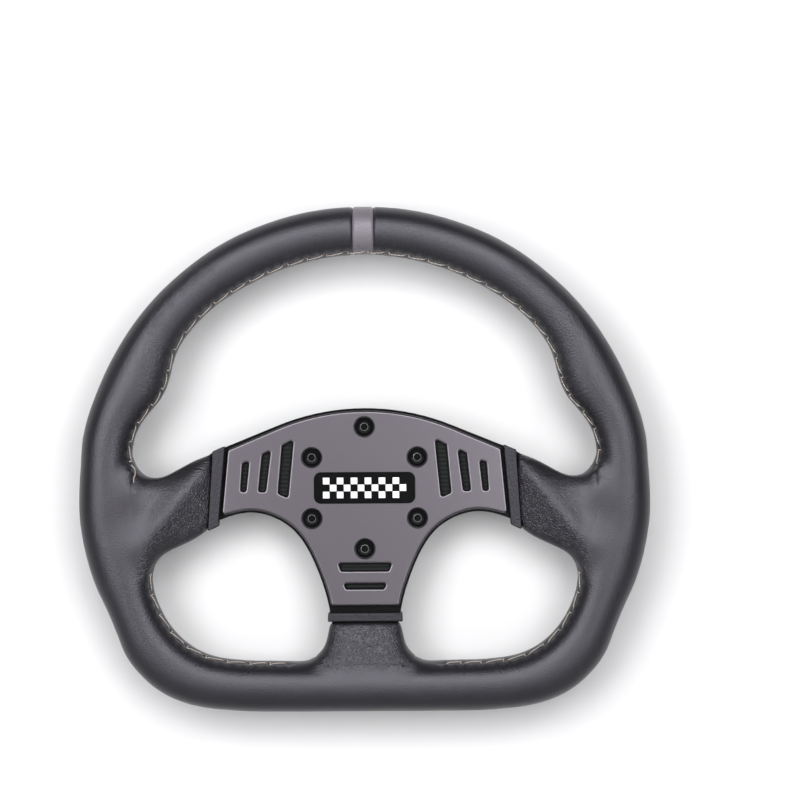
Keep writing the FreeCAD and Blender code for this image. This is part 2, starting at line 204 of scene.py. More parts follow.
def powder_coat():
    """Satin powder coat: the fine orange peel of baked powder, 1 mm across."""
    made = material("satin_black_powder_coat")
    noise, bump = grain_bump(made, 1000.0, 0.00002)
    shade = add_node(made, "ShaderNodeMixRGB", {0: noise.outputs[0], 1: colour("#050506"),
                                                2: colour("#09090a")})
    finish_shader(made, {"Base Color": shade.outputs[0], "Roughness": 0.22,
                         "Specular IOR Level": 0.12, "Normal": bump.outputs[0]})
    return made


def coat(made, *nodes):
    """Gives CAD nodes their material."""
    for name in nodes:
        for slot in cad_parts[name].material_slots:
            slot.material = made


coat(powder_coat(), "spoke_frame")

# ---- Hoop and rivets ----------------------------------------------------------------------
# The rim's core: 14 mm drawn steel tube bent round and welded shut, slotted for the spoke
# tabs, with two zinc-plated steel rivets through each tab.


def drawn_steel():
    """Bright drawn tube: marks left along it by the die, drawn a millimetre long."""
    made = material("drawn_steel_tube")
    noise, bump = grain_bump(made, 900.0, 0.00001, turn=(1, 8, 1))
    shade = add_node(made, "ShaderNodeMixRGB", {0: noise.outputs[0], 1: colour("#8d8f92"),
                                                2: colour("#a3a5a8")})
    finish_shader(made, {"Base Color": shade.outputs[0], "Roughness": 0.32, "Metallic": 1.0,
                         "Normal": bump.outputs[0]})
    return made


def zinc_plate():
    """Zinc plating: a pale grey metal, mottled where the bath left it dull."""
    made = material("zinc_plated_steel")
    noise, bump = grain_bump(made, 600.0, 0.00001)
    rough = add_node(made, "ShaderNodeMapRange", {"Value": noise.outputs[0], "To Min": 0.25,
                                                  "To Max": 0.45})
    finish_shader(made, {"Base Color": colour("#b4b6b5"), "Roughness": rough.outputs[0],
                         "Metallic": 1.0, "Normal": bump.outputs[0]})
    return made


coat(drawn_steel(), "rim_hoop")
coat(zinc_plate(), "hoop_rivets_left", "hoop_rivets_right", "hoop_rivets_bottom")

# ---- Covered body: foam under leather -----------------------------------------------------
# Polyurethane foam is moulded over the hoop and spoke tabs, then 1.2 mm cowhide is stretched
# over it wet and hand-sewn along the inside. The body is one ring and three spoke pads,
# merged; the foam and every leather panel are cut from it. Outlines are (x, z) points of the
# right half in millimetres, and edges are (way along the spoke, how far to the side).
RIM_Y = -2.5
RIM_HALF_DEEP = 15.5
RIM_OUTSIDE = [(0, 161.9), (28.2, 159.7), (55.5, 152.6), (81.5, 141.0), (104.7, 124.7),
               (125.0, 104.9), (141.5, 81.7), (154.0, 56.1), (159.0, 42.6), (162.4, 28.7),
               (163.5, 14.3), (164.4, 0), (164.5, -14.4), (162.8, -28.7), (155.1, -56.5),
               (149.0, -69.5), (143.5, -82.8), (137.9, -96.6), (128.9, -108.2),
               (117.5, -117.5), (103.8, -123.7), (88.9, -126.9), (74.0, -128.2),
               (46.8, -128.9), (22.0, -129.0), (0, -129.0)]
RIM_INSIDE = [(0, 134.1), (19.0, 132.6), (41.5, 127.4), (66.9, 116.5), (86.6, 103.8),
              (100.4, 89.9), (107.6, 78.5), (111.0, 66.6), (113.4, 58.3), (117.7, 50.3),
              (121.8, 45.8), (125.6, 41.2), (129.1, 36.1), (132.0, 30.0), (133.8, 20.0),
              (134.2, 5.0), (132.0, -12.0), (127.5, -30.0), (122.8, -48.3), (121.8, -57.5),
              (118.4, -67.5), (112.0, -78.8), (101.7, -89.3), (88.3, -96.1), (72.3, -98.7),
              (52.0, -99.3), (32.0, -99.8), (15.0, -100.0), (0, -100.0)]
PAD_START = 88.1
PAD_END = 148
PAD_SLANT = 0.065
SLANT_FADE = 20
PAD_TOP_EDGE = [(86, 21.0), (92, 18.9), (99, 15.9), (108, 10.8), (116.5, 6.6), (124.5, 6.6),
                (130.4, 11.2), (133.2, 17.0), (150, 17.0)]
PAD_LOW_EDGE = [(86, -23.0), (90.5, -25.5), (97.0, -29.3), (106.0, -33.1), (113.5, -36.4),
                (118.6, -40.1), (121.8, -45.3), (124, -56.0), (150, -56.0)]
FOOT_START = 76.9
FOOT_END = 116
FOOT_EDGE = [(70, 20.9), (77.7, 21.0), (84, 21.7), (89, 22.8), (93, 24.7), (97, 28.6),
             (101, 34.5), (125, 42.0)]
PAD_HALF_DEEP = [(86, 8.0), (92, 9.0), (102, 11.0), (118, 13.4), (134, 15.0), (150, 15.4)]
FOOT_HALF_DEEP = [(70, 7.9), (77, 8.4), (88, 10.4), (100, 13.0), (114, 14.0), (125, 14.0)]
FULLNESS = 2.25
PAD_FULLNESS = 3.4
BLANK_RADIUS = 3
BLANK_SIDES = 44
BLANK_STEPS = 400
PAD_CUTS = 27
VOXEL = 1.8
SMOOTH_PASSES = 9
LAST_PASSES = 2


def smooth_value(knots, at):
    """The value at a place on a smooth curve through (place, value) knots."""
    at = min(max(at, knots[0][0]), knots[-1][0])
    last = len(knots) - 1
    k = next(i for i in range(last) if at <= knots[i + 1][0])

    def slope(i):
        before, after = knots[max(i - 1, 0)], knots[min(i + 1, last)]
        return 0.0 if i in (0, last) else (after[1] - before[1]) / (after[0] - before[0])

    (x0, v0), (x1, v1) = knots[k], knots[k + 1]
    step = x1 - x0
    t = (at - x0) / step
    a, b = slope(k) * step, slope(k + 1) * step
    return (v0 * (1 + 2 * t) * (1 - t) ** 2 + a * t * (1 - t) ** 2
            + v1 * t * t * (3 - 2 * t) + b * t * t * (t - 1))


def by_angle(outline):
    """Outline points as (angle from the top, radius) knots."""
    return [(math.atan2(x, z), math.hypot(x, z)) for x, z in outline]


def to_superellipse(a, b, power):
    """Moves a point of the unit square's or circle's edge onto a superellipse."""
    size = (abs(a) ** power + abs(b) ** power) ** (1 / power)
    return (a / size, b / size) if size > 1e-9 else (a, b)


def ring_mesh():
    """A torus spun about the hub's axis, then drawn out to the D-shaped outlines."""
    mesh = bmesh.new()
    bmesh.ops.create_circle(mesh, segments=BLANK_SIDES, radius=1,
                            matrix=Matrix.Translation((BLANK_RADIUS, 0, 0)))
    bmesh.ops.spin(mesh, geom=mesh.verts[:] + mesh.edges[:], cent=(0, 0, 0), axis=(0, 1, 0),
                   angle=2 * math.pi, steps=BLANK_STEPS, use_merge=True)
    bmesh.ops.remove_doubles(mesh, verts=mesh.verts, dist=1e-5)
    outside, inside = by_angle(RIM_OUTSIDE), by_angle(RIM_INSIDE)
    for v in mesh.verts:
        angle = math.atan2(v.co.x, v.co.z)
        out = smooth_value(outside, abs(angle))
        within = smooth_value(inside, abs(angle))
        from_middle = math.hypot(v.co.x, v.co.z) - BLANK_RADIUS
        across, deep = to_superellipse(from_middle, v.co.y, FULLNESS)
        radius = (out + within) / 2 + across * (out - within) / 2
        v.co = (radius * math.sin(angle), RIM_Y + deep * RIM_HALF_DEEP, radius * math.cos(angle))
    bmesh.ops.recalc_face_normals(mesh, faces=mesh.faces)
    return mesh


def pad_mesh(run, top, bottom, half_deep, place):
    """A block drawn out along a spoke: its edges and depth follow curves of the run."""
    mesh = bmesh.new()
    bmesh.ops.create_cube(mesh, size=2)
    bmesh.ops.subdivide_edges(mesh, edges=mesh.edges, cuts=PAD_CUTS, use_grid_fill=True)
    for v in mesh.verts:
        along, side, deep = v.co
        if max(abs(side), abs(deep)) > 0.999:
            side, deep = to_superellipse(side, deep, PAD_FULLNESS)
        at = run[0] + (run[1] - run[0]) * (along + 1) / 2
        up, down = smooth_value(top, at), smooth_value(bottom, at)
        v.co = place(at, (up + down) / 2 + side * (up - down) / 2,
                     RIM_Y + deep * smooth_value(half_deep, at))
    bmesh.ops.recalc_face_normals(mesh, faces=mesh.faces)
    return mesh


def to_object(name, mesh):
    data = bpy.data.meshes.new(name)
    mesh.to_mesh(data)
    mesh.free()
    made = bpy.data.objects.new(name, data)
    bpy.context.collection.objects.link(made)
    return made


def modified(obj):
    """The object's mesh with its modifiers applied, as a bmesh in millimetres."""
    graph = bpy.context.evaluated_depsgraph_get()
    mesh = bmesh.new()
    mesh.from_object(obj, graph)
    bpy.data.objects.remove(obj)
    return mesh


def smooth_out(mesh, passes):
    for _ in range(passes):
        bmesh.ops.smooth_vert(mesh, verts=mesh.verts, factor=0.5, use_axis_x=True,
                              use_axis_y=True, use_axis_z=True)


def covered_body():
    """Ring and pads merged into one skin of even faces, and its joins smoothed."""
    foot_left = [(at, -edge) for at, edge in FOOT_EDGE]

    def lean(at, side):
        """The pads' ends slant as the collars do, and the slant dies out along the spoke."""
        return at - PAD_SLANT * side * max(0.0, 1 - (at - PAD_START) / SLANT_FADE)

    pads = [pad_mesh((PAD_START, PAD_END), PAD_TOP_EDGE, PAD_LOW_EDGE, PAD_HALF_DEEP,
                     lambda at, side, deep: (lean(at, side), deep, side)),
            pad_mesh((PAD_START, PAD_END), PAD_TOP_EDGE, PAD_LOW_EDGE, PAD_HALF_DEEP,
                     lambda at, side, deep: (-lean(at, side), deep, side)),
            pad_mesh((FOOT_START, FOOT_END), FOOT_EDGE, foot_left, FOOT_HALF_DEEP,
                     lambda at, side, deep: (side, deep, -at))]
    whole = ring_mesh()
    for pad in pads:
        data = bpy.data.meshes.new("pad")
        pad.to_mesh(data)
        pad.free()
        whole.from_mesh(data)
        bpy.data.meshes.remove(data)
    blank = to_object("covered_body", whole)
    remesh = blank.modifiers.new("even_faces", "REMESH")
    remesh.mode = "VOXEL"
    remesh.voxel_size = VOXEL
    mesh = modified(blank)
    smooth_out(mesh, SMOOTH_PASSES)
    return mesh


RIDGE_FROM = Vector((90.0, 13.5))
RIDGE_TO = Vector((130.0, -36.0))
# Height, place off the ridge's line and width of the ridge, the thumb's hollow outside it and
# the palm's inside it.
SWELLS = [(1.5, 0, 6), (-2.2, 14, 10), (-0.9, -13, 8)]


def bell(distance, width):
    return math.exp(-(distance / width) ** 2)


def ease(low, high, value):
    t = min(max((value - low) / (high - low), 0.0), 1.0)
    return t * t * (3 - 2 * t)


def thumb_rests(mesh):
    """A ridge runs down each side spoke, with a hollow for the thumb above and outside it."""
    way = RIDGE_TO - RIDGE_FROM
    length = way.length
    way.normalize()
    for v in mesh.verts:
        if v.co.y > RIM_Y:
            continue
        from_start = Vector((abs(v.co.x), v.co.z)) - RIDGE_FROM
        along = from_start.dot(way) / length
        off = from_start.dot(Vector((-way.y, way.x)))
        near = ease(-0.15, 0.15, along) * (1 - ease(0.7, 1.15, along))
        swell = sum(height * bell(off - place, width) for height, place, width in SWELLS)
        facing = ease(0.2, 0.8, -v.normal.y)
        v.co.y -= swell * near * facing


body = covered_body()
body.normal_update()
thumb_rests(body)
smooth_out(body, LAST_PASSES)
body.normal_update()

# ---- Foam core ----------------------------------------------------------------------------
# Moulded polyurethane foam, dark grey and closed-skinned, everywhere 1.5 mm under the
# outside of the leather.
FOAM_UNDER = 1.5
FOAM_FACE = 3.0


def to_metres(name, mesh):
    """A finished piece: its mesh scaled to metres, smooth, riding on the wheel."""
    bmesh.ops.scale(mesh, vec=(MM, MM, MM), verts=mesh.verts)
    made = to_object(name, mesh)
    for face in made.data.polygons:
        face.use_smooth = True
    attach(made, "root")
    return made


def foam_piece():
    mesh = body.copy()
    for v in mesh.verts:
        v.co -= v.normal * FOAM_UNDER
    blank = to_object("foam_blank", mesh)
    coarse = blank.modifiers.new("coarse_faces", "REMESH")
    coarse.mode = "VOXEL"
    coarse.voxel_size = FOAM_FACE
    return to_metres("foam", modified(blank))


def moulded_foam():
    """Integral-skin polyurethane: matt, dark grey, pitted every millimetre or so."""
    made = material("moulded_polyurethane_foam")
    noise, bump = grain_bump(made, 900.0, 0.0001)
    shade = add_node(made, "ShaderNodeMixRGB", {0: noise.outputs[0], 1: colour("#232325"),
                                                2: colour("#313134")})
    finish_shader(made, {"Base Color": shade.outputs[0], "Roughness": 0.8,
                         "Normal": bump.outputs[0]})
    return made


foam = foam_piece()
foam.data.materials.append(moulded_foam())
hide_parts("foam_core")

# ---- Sewn seam ----------------------------------------------------------------------------
# The leather's long edges meet along the inside of the rim and are hook-stitched with waxed
# polyester thread, every second stitch long. The thread pulls the edges down in puckers.
SEAM_LEAN = math.radians(24)
SEAM_UPPER = (-88.5, 88.5)
SEAM_LOWER = (111.5, 157.5)
STITCH_PITCH = 8.7
STITCH_WIDE = 0.58
STITCH_RISE = 0.9
STITCH_TUCK = 0.8
SEAM_FINE = 600
SEAM_STEP = 0.5
GROOVE_REACH = 2.2
GROOVE_DEEP = 0.35
PUCKER_REACH = 6.0
PUCKER_DEEP = 0.55


def seam_point(angle):
    """A place on the rim's inner edge, leaning to the front, in millimetres."""
    out = smooth_value(by_angle(RIM_OUTSIDE), abs(angle))
    within = smooth_value(by_angle(RIM_INSIDE), abs(angle))
    across, deep = to_superellipse(-math.cos(SEAM_LEAN), -math.sin(SEAM_LEAN), FULLNESS)
    radius = (out + within) / 2 + across * (out - within) / 2
    return Vector((radius * math.sin(angle), RIM_Y + deep * RIM_HALF_DEEP,
                   radius * math.cos(angle)))


def seam_line(ends):
    """Even steps along the seam: a list of places."""
    low, high = (math.radians(a) for a in ends)
    count = int((high - low) * SEAM_FINE)
    fine = [seam_point(low + (high - low) * i / count) for i in range(count + 1)]
    line, carried = [fine[0]], 0.0
    for a, b in zip(fine, fine[1:]):
        carried += (b - a).length
        if carried >= SEAM_STEP:
            line.append(b)
            carried = 0.0
    return line


def mirrored_line(line):
    return [Vector((-p.x, p.y, p.z)) for p in line]


lower_right = seam_line(SEAM_LOWER)
seams = {"upper": seam_line(SEAM_UPPER), "lower_right": lower_right,
         "lower_left": mirrored_line(lower_right)}


def nearest_on(line):
    tree = KDTree(len(line))
    for i, place in enumerate(line):
        tree.insert(place, i)
    tree.balance()
    return tree


def sink_seam(mesh, line):
    """Draws the leather down into a groove at the seam, and into a pucker at each hole."""
    tree = nearest_on(line)
    for v in mesh.verts:
        place, i, distance = tree.find(v.co)
        if distance < PUCKER_REACH:
            wave = 0.5 + 0.5 * math.cos(4 * math.pi * i * SEAM_STEP / STITCH_PITCH)
            groove = GROOVE_DEEP * max(0.0, 1 - (distance / GROOVE_REACH) ** 2)
            pucker = PUCKER_DEEP * wave * (1 - (distance / PUCKER_REACH) ** 2)
            v.co -= v.normal * (groove + pucker)


def refine(mesh, line, reach):
    """Halves the faces along a seam, so that the puckers have faces enough."""
    tree = nearest_on(line)
    near = [e for e in mesh.edges if tree.find(e.verts[0].co)[2] < reach]
    bmesh.ops.subdivide_edges(mesh, edges=near, cuts=1, use_grid_fill=True)


for line in seams.values():
    refine(body, line, PUCKER_REACH)
surface = BVHTree.FromBMesh(body)
seams = {name: [surface.find_nearest(p)[0] for p in line] for name, line in seams.items()}
facing = {name: [surface.find_nearest(p)[1] for p in line] for name, line in seams.items()}
for line in seams.values():
    sink_seam(body, line)
body.normal_update()


def thread_run(mesh, path, out):
    """One visible length of thread: a six-sided cord along a path, its ends turned under."""
    rings = []
    last = len(path) - 1
    for k, place in enumerate(path):
        way = (path[min(k + 1, last)] - path[max(k - 1, 0)]).normalized()
        side = out[k].cross(way).normalized()
        under = STITCH_TUCK * abs(2 * k / last - 1) ** 6
        turn = Matrix((side, way.cross(side), way)).transposed().to_4x4()
        place = Matrix.Translation(place + out[k] * (STITCH_WIDE * 0.45 - under))
        rings.append(bmesh.ops.create_circle(mesh, segments=6, radius=STITCH_WIDE / 2,
                                             cap_ends=k in (0, last), matrix=place @ turn))
    for a, b in zip(rings, rings[1:]):
        edges = {e for ring in (a, b) for v in ring["verts"] for e in v.link_edges
                 if e.other_vert(v) in ring["verts"]}
        bmesh.ops.bridge_loops(mesh, edges=list(edges))


def thread_piece(name, line, out):
    """Long hook stitches that cross the seam at a slant, each locked by a short one."""
    mesh = bmesh.new()
    each = STITCH_PITCH / SEAM_STEP
    for n in range(int((len(line) - 3) / each)):
        first = int((n + 0.03) * each)
        run = range(first, first + int(each * 0.94), 2)
        across = [out[i].cross((line[i + 1] - line[i - 1])).normalized() for i in run]
        lean = [STITCH_RISE * (2 * k / (len(run) - 1) - 1) for k in range(len(run))]
        path = [line[i] + a * s for i, a, s in zip(run, across, lean)]
        thread_run(mesh, path, [out[i] for i in run])
        lock = run[0]
        step = across[0] * STITCH_RISE * 1.3
        thread_run(mesh, [line[lock] + step * t for t in (-1.0, -0.8, 0, 0.8, 1.0)],
                   [out[lock]] * 5)
    bmesh.ops.recalc_face_normals(mesh, faces=mesh.faces)
    return to_metres(name, mesh)


def waxed_thread():
    """Twisted polyester, waxed: pale stone, with painted shade darkening it where the twist
    turns under.
    """
    made = material("waxed_polyester_thread")
    place = add_node(made, "ShaderNodeTexCoord").outputs["Object"]
    twist = add_node(made, "ShaderNodeTexWave", {"Vector": place, "Scale": 420.0,
                                                 "Distortion": 2.0}, bands_direction="DIAGONAL")
    bump = add_node(made, "ShaderNodeBump", {"Height": twist.outputs[1], "Distance": 0.0001,
                                             "Strength": 0.8})
    # Painted shade: the colour follows the twist's bump height, darker in the grooves where the
    # twist turns under.
    shade = add_node(made, "ShaderNodeMixRGB", {0: twist.outputs[1], 1: colour("#6f6660"),
                                                2: colour("#a89e95")})
    finish_shader(made, {"Base Color": shade.outputs[0], "Roughness": 0.55,
                         "Normal": bump.outputs[0]})
    return made


thread = waxed_thread()
stands_for = {"upper": ["thread_upper_left", "thread_upper_right"],
              "lower_right": ["thread_lower_right"], "lower_left": ["thread_lower_left"]}
for name, line in seams.items():
    piece = thread_piece("stitches_" + name, line, facing[name])
    piece.data.materials.append(thread)
    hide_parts(*stands_for[name])

# ---- Leather panels -----------------------------------------------------------------------
# 1.2 mm chrome-tanned cowhide: one long piece round the rim and one on each spoke, butted at
# turned edges and sewn from behind. The marker at the top is a band of grey hide let into the
# rim's. Stretching flattens the grain on the rim and leaves it on the spokes.
HIDE_THICK = 1.2
MARKER_HALF = 5.9
CUT_REACH = 1.5
MARKER_CUTS = (-0.7, 0, 0.7)
SHARP_FROM = 1.0
WAY_RADIUS = 0.13
SIDE_PIECE = [(80, 40), (131.2, 15), (132.8, 3), (132.8, -19), (119.5, -48), (80, -60)]
FOOT_PIECE = [(-33, -60), (33, -60), (33, -95.2), (21.8, -101.2), (-21.8, -101.2), (-33, -95.2)]
MARKER_PIECE = [(-MARKER_HALF, 100), (-MARKER_HALF, 200), (MARKER_HALF, 200),
                (MARKER_HALF, 100)]


def inside(outline, x, z):
    """Whether a place is inside a convex outline walked clockwise."""
    ring = zip(outline, outline[1:] + outline[:1])
    return all((x1 - x0) * (z - z0) - (z1 - z0) * (x - x0) <= 0 for (x0, z0), (x1, z1) in ring)


def off_line(a, b, x, z):
    """How far a place is from the stretch between two points."""
    run = Vector(b) - Vector(a)
    t = min(max((Vector((x, z)) - Vector(a)).dot(run) / run.length_squared, 0.0), 1.0)
    return (Vector((x, z)) - Vector(a) - run * t).length


def cut_along(mesh, a, b, offset=0.0):
    """Cuts new edges through the skin along one stretch of a panel's edge."""
    square = Vector((b[1] - a[1], 0, a[0] - b[0])).normalized()
    faces = [f for f in mesh.faces
             if off_line(a, b, *f.calc_center_median().xz) < CUT_REACH + abs(offset)]
    edges = {e for f in faces for e in f.edges}
    verts = {v for f in faces for v in f.verts}
    bmesh.ops.bisect_plane(mesh, geom=faces + list(edges) + list(verts), dist=0.02,
                           plane_co=Vector((a[0], 0, a[1])) + square * offset, plane_no=square)


def turned_edge(mesh, a, b, reach, depth):
    """Draws the skin down where one hide's edge is turned under against the next."""
    for v in mesh.verts:
        distance = off_line(a, b, v.co.x, v.co.z)
        if distance < reach:
            v.co -= v.normal * depth * (1 - (distance / reach) ** 2)


def panel(name, keep):
    """The part of the skin that one piece of hide covers, given its thickness."""
    mesh = body.copy()
    others = [f for f in mesh.faces if not keep(*f.calc_center_median().xz)]
    bmesh.ops.delete(mesh, geom=others, context="FACES")
    flat = to_object(name + "_flat", mesh)
    hide = flat.modifiers.new("hide", "SOLIDIFY")
    hide.thickness = HIDE_THICK
    hide.offset = -1
    mesh = modified(flat)
    for edge in mesh.edges:
        edge.smooth = edge.calc_face_angle(0) < SHARP_FROM
    return to_metres(name, mesh)


def cowhide(name, dark, light):
    """Finished cowhide: pebbles 1.3 mm across with creases between, and fine wrinkles."""
    made = material(name)
    place = add_node(made, "ShaderNodeTexCoord").outputs["Object"]
    grain = add_node(made, "ShaderNodeAttribute", attribute_name="grain").outputs["Fac"]
    bend = add_node(made, "ShaderNodeTexNoise", {"Vector": place, "Scale": 260.0, "Detail": 2.0})
    drift = add_node(made, "ShaderNodeVectorMath", {0: bend.outputs[1], "Scale": 0.0016},
                     operation="SCALE")
    bent = add_node(made, "ShaderNodeVectorMath", {0: place, 1: drift.outputs[0]})
    cells = add_node(made, "ShaderNodeTexVoronoi", {"Vector": bent.outputs[0], "Scale": 760.0},
                     feature="DISTANCE_TO_EDGE")
    crease = add_node(made, "ShaderNodeMapRange", {"Value": cells.outputs[0], "From Max": 0.3})
    fold = add_node(made, "ShaderNodeTexNoise", {"Vector": place, "Scale": 700.0, "Detail": 3.0})
    pebble = add_node(made, "ShaderNodeBump", {"Height": crease.outputs[0], "Distance": 0.00028,
                                               "Strength": grain})
    skin = add_node(made, "ShaderNodeBump", {"Height": fold.outputs[0], "Distance": 0.00018,
                                             "Strength": grain, "Normal": pebble.outputs[0]})
    gather = add_node(made, "ShaderNodeAttribute", attribute_name="gather").outputs["Fac"]
    way_round = add_node(made, "ShaderNodeAttribute", attribute_name="way_round").outputs["Fac"]
    wander = add_node(made, "ShaderNodeMath", {0: bend.outputs[0], 1: 0.0025, 2: way_round},
                      operation="MULTIPLY_ADD")
    wrinkle = add_node(made, "ShaderNodeTexNoise", {"W": wander.outputs[0], "Scale": 800.0,
                                                    "Detail": 1.0}, noise_dimensions="1D")
    bump = add_node(made, "ShaderNodeBump", {"Height": wrinkle.outputs[0], "Distance": 0.0003,
                                             "Strength": gather, "Normal": skin.outputs[0]})
    mottle = add_node(made, "ShaderNodeTexNoise", {"Vector": place, "Scale": 60.0,
                                                   "Detail": 3.0})
    shade = add_node(made, "ShaderNodeMixRGB", {0: mottle.outputs[0], 1: colour(dark),
                                                2: colour(light)})
    rough = add_node(made, "ShaderNodeMapRange", {"Value": mottle.outputs[0], "To Min": 0.35,
                                                  "To Max": 0.46})
    finish_shader(made, {"Base Color": shade.outputs[0], "Roughness": rough.outputs[0],
                         "Specular Tint": colour("#f6f2ff"), "Normal": bump.outputs[0]})
    return made


side_edges = list(zip(SIDE_PIECE[1:4], SIDE_PIECE[2:5]))
foot_edges = list(zip(FOOT_PIECE[2:5], FOOT_PIECE[3:6]))
side_edges += [((-x0, z0), (-x1, z1)) for (x0, z0), (x1, z1) in side_edges]
marker_edges = [(MARKER_PIECE[0], MARKER_PIECE[1]), (MARKER_PIECE[2], MARKER_PIECE[3])]
for a, b in side_edges + foot_edges:
    cut_along(body, a, b)
for a, b in marker_edges:
    for offset in MARKER_CUTS:
        cut_along(body, a, b, offset)
body.normal_update()
for a, b in side_edges:
    turned_edge(body, a, b, 1.0, 0.1)
for a, b in foot_edges:
    turned_edge(body, a, b, 1.0, 0.3)
for a, b in marker_edges:
    turned_edge(body, a, b, 0.8, 0.8)


def on_side(x, z):
    return inside(SIDE_PIECE, abs(x), z)


def on_foot(x, z):
    return inside(FOOT_PIECE, x, z)


def on_marker(x, z):
    return inside(MARKER_PIECE, x, z)


def on_rim(x, z):
    return not (on_side(x, z) or on_foot(x, z) or on_marker(x, z))


def stretch_marks(mesh):
    """Three marks on the hide: how much grain the stretching has left, how much the seam
    gathers it into wrinkles, and the way round the rim, in metres."""
    grain = mesh.verts.layers.float.new("grain")
    gather = mesh.verts.layers.float.new("gather")
    way_round = mesh.verts.layers.float.new("way_round")
    outside, within = by_angle(RIM_OUTSIDE), by_angle(RIM_INSIDE)
    way = (RIDGE_TO - RIDGE_FROM).normalized()
    for v in mesh.verts:
        x, z = abs(v.co.x), v.co.z
        off = (Vector((x, z)) - RIDGE_FROM).dot(Vector((-way.y, way.x)))
        on_pad = ease(80, 86, x) * ease(-52, -44, z)
        below = (1 - ease(-4, 3, off)) * (1 - ease(124, 136, x)) * on_pad
        above = 0.35 * (1 - ease(120, 134, x)) * on_pad
        foot = 0.55 * (1 - ease(26, 36, x)) * (1 - ease(-78, -76, z)) * ease(-112, -99, z)
        v[grain] = max(0.2, below, above, foot)
        angle = math.atan2(x, z)
        radius = math.hypot(x, z)
        out, inner = smooth_value(outside, angle), smooth_value(within, angle)
        share = (radius - inner) / (out - inner)
        sewn = 1 - ease(80, 92, math.degrees(angle)) * (1 - ease(105, 113, math.degrees(angle)))
        on_foot_side = ease(150, 160, math.degrees(angle))
        v[gather] = (1 - ease(0.1, 0.42, share)) * sewn * (1 - on_foot_side)
        v[way_round] = math.atan2(v.co.x, z) * WAY_RADIUS


stretch_marks(body)
black_hide = cowhide("black_cowhide", "#0e0e11", "#141417")
grey_hide = cowhide("grey_cowhide", "#565257", "#5e5a5f")
panels = [("hide_rim", black_hide, "rim_leather", on_rim,
           ["leather_rim_left", "leather_rim_right"]),
          ("hide_spoke_left", black_hide, "rim_leather", lambda x, z: x < 0 and on_side(x, z),
           ["leather_spoke_left"]),
          ("hide_spoke_right", black_hide, "rim_leather", lambda x, z: x > 0 and on_side(x, z),
           ["leather_spoke_right"]),
          ("hide_spoke_bottom", black_hide, "rim_leather", on_foot, ["leather_spoke_bottom"]),
          ("hide_marker", grey_hide, "marker_leather", on_marker, ["leather_centre_marker"])]
for name, hide, slot, keep, nodes in panels:
    piece = panel(name, keep)
    piece.data.materials.append(hide)
    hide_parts(*nodes)

# ---- Front plate --------------------------------------------------------------------------
# 3.5 mm aluminium, milled with rounded edges, then bead-blasted very fine and anodised in a
# smoky black, which keeps a metal's sheen.


def anodised():
    """Smoke anodising over metal: dark, with a violet cast. The blasting's grain is drawn
    0.4 mm across, because the real grain is too fine to show."""
    made = material("smoke_anodised_aluminium")
    noise, bump = grain_bump(made, 2500.0, 0.000002)
    shade = add_node(made, "ShaderNodeMixRGB", {0: noise.outputs[0], 1: colour("#58545a"),
                                                2: colour("#5e5a60")})
    finish_shader(made, {"Base Color": shade.outputs[0], "Roughness": 0.31, "Metallic": 1.0,
                         "Normal": bump.outputs[0]})
    return made


coat(anodised(), "centre_plate")

# ---- Slot sheets --------------------------------------------------------------------------
# Ribbed black fabric sheet behind the slots.


def ribbed_sheet():
    """Woven ribs, drawn 2.4 mm apart, because the real ones are too fine to show."""
    made = material("ribbed_black_fabric")
    place = add_node(made, "ShaderNodeTexCoord").outputs["Object"]
    ribs = add_node(made, "ShaderNodeTexWave", {"Vector": place, "Scale": 130.0},
                    bands_direction="Z")
    bump = add_node(made, "ShaderNodeBump", {"Height": ribs.outputs[1], "Distance": 0.0002,
                                             "Strength": 1.0})
    shade = add_node(made, "ShaderNodeMixRGB", {0: ribs.outputs[1], 1: colour("#030404"),
                                                2: colour("#101613")})
    finish_shader(made, {"Base Color": shade.outputs[0], "Roughness": 0.7,
                         "Specular IOR Level": 0.15, "Normal": bump.outputs[0]})
    return made


coat(ribbed_sheet(), "slot_mesh_left", "slot_mesh_right", "slot_mesh_bottom")

# ---- Badge --------------------------------------------------------------------------------
# A plain generic plaque: a gloss black enamelled plate glued into its seat, with a chequer of
# bright aluminium tiles on it.


def badge_black():
    """Stoved enamel, glossy, with a slight ripple."""
    made = material("gloss_black_enamel")
    noise, bump = grain_bump(made, 300.0, 0.00001)
    shade = add_node(made, "ShaderNodeMixRGB", {0: noise.outputs[0], 1: colour("#050506"),
                                                2: colour("#0a0a0b")})
    finish_shader(made, {"Base Color": shade.outputs[0], "Roughness": 0.12,
                         "Normal": bump.outputs[0]})
    return made


def badge_silver():
    """Aluminium brushed from side to side."""
    made = material("polished_aluminium")
    noise, bump = grain_bump(made, 1500.0, 0.000004, turn=(1, 1, 12))
    shade = add_node(made, "ShaderNodeMixRGB", {0: noise.outputs[0], 1: colour("#d8d8da"),
                                                2: colour("#efeff0")})
    finish_shader(made, {"Base Color": shade.outputs[0], "Roughness": 0.3, "Metallic": 1.0,
                         "Normal": bump.outputs[0]})
    return made


coat(badge_black(), "badge_base")
coat(badge_silver(), "badge_tiles")

# ---- Screws -------------------------------------------------------------------------------
# Six M5 x 16 flanged button-head socket screws, black oxide on steel, rubbed bright where the
# key goes in. They pass through plate and frame, and their threads stand out behind.
SEAT_Y = -6.2
HEAD_TOP = SEAT_Y - 2.75
TIP_Y = SEAT_Y + 16
BOLT_RADIUS = 35
THREAD_PITCH = 0.8
KEY_ACROSS = 3.0
SOCKET_FLOOR = HEAD_TOP + 1.8
RUBBED_FROM = 1.9
RUBBED_TO = 2.4
HEAD_SIDES = 24


